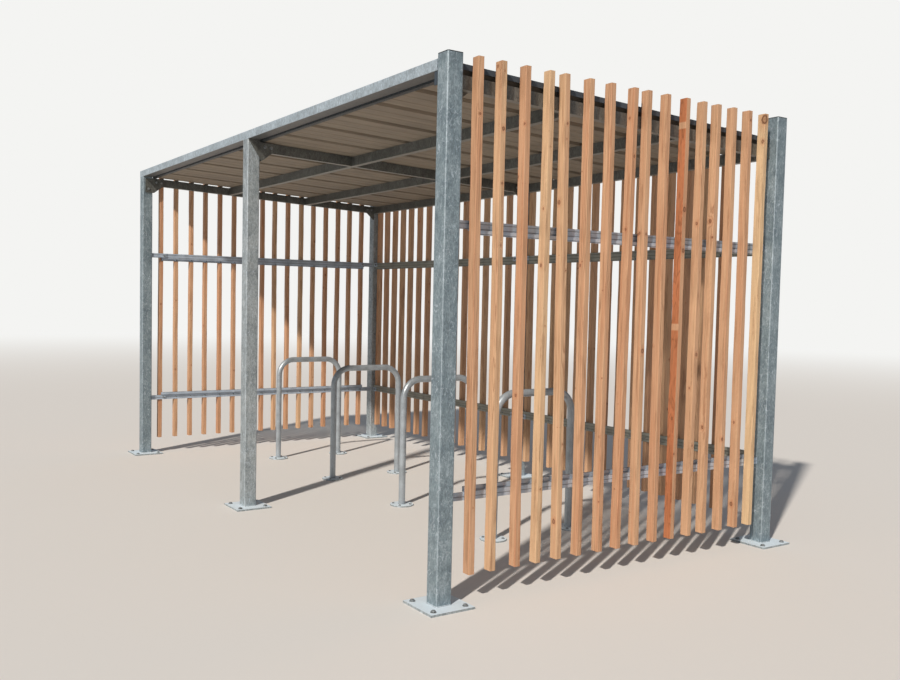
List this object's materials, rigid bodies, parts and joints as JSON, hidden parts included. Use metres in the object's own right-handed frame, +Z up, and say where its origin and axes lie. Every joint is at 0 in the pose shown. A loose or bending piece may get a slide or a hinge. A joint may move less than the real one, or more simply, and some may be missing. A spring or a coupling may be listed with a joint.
{
  "type": "bicycle shelter",
  "caption": "Open-fronted bicycle shelter: a galvanised frame with timber batten walls, a ribbed sheet roof and parking hoops.",
  "frame": {"origin": "on the floor, midway between the corner posts", "axes": "+X along the shelter to its right end seen from the open front, -Y out of the open front, +Z up"},
  "size_m": [4.605, 2.395, 2.35],
  "materials": {
    "galvanised_steel": "dull hot-dip galvanised, mottled",
    "coated_sheet": "matt coil coated, slate outside and grey-beige beneath",
    "larch": "sawn and oiled, knots and broken corners",
    "hoop_steel": "smooth galvanised tube"
  },
  "bodies": {
    "root": {"post_front_right": "galvanised_steel", "post_front_middle": "galvanised_steel", "post_front_left": "galvanised_steel", "post_back_right": "galvanised_steel", "post_back_middle": "galvanised_steel", "post_back_left": "galvanised_steel", "base_plates": "galvanised_steel", "post_caps": "galvanised_steel", "front_beam_left": "galvanised_steel", "front_beam_right": "galvanised_steel", "roof_edge_angle": "galvanised_steel", "back_beam_left": "galvanised_steel", "back_beam_right": "galvanised_steel", "end_beam_left": "galvanised_steel", "end_beam_right": "galvanised_steel", "cross_beam_middle": "galvanised_steel", "purlin_front_left": "galvanised_steel", "purlin_front_right": "galvanised_steel", "purlin_back_left": "galvanised_steel", "purlin_back_right": "galvanised_steel", "knee_brackets": "galvanised_steel", "rail_end_left_lower": "galvanised_steel", "rail_end_left_upper": "galvanised_steel", "rail_end_right_lower": "galvanised_steel", "rail_end_right_upper": "galvanised_steel", "rail_back_left_lower": "galvanised_steel", "rail_back_left_upper": "galvanised_steel", "rail_back_right_lower": "galvanised_steel", "rail_back_right_upper": "galvanised_steel", "rail_tabs": "galvanised_steel", "roof_sheet_1": "coated_sheet", "roof_sheet_2": "coated_sheet", "roof_sheet_3": "coated_sheet", "roof_sheet_4": "coated_sheet", "verge_flashing_left": "coated_sheet", "verge_flashing_right": "coated_sheet", "battens_end_left": "larch", "battens_end_right": "larch", "battens_back_left": "larch", "battens_back_right": "larch", "hoop_1": "hoop_steel", "hoop_2": "hoop_steel", "hoop_3": "hoop_steel", "hoop_4": "hoop_steel", "hoop_flanges": "hoop_steel"}
  },
  "joints": []
}
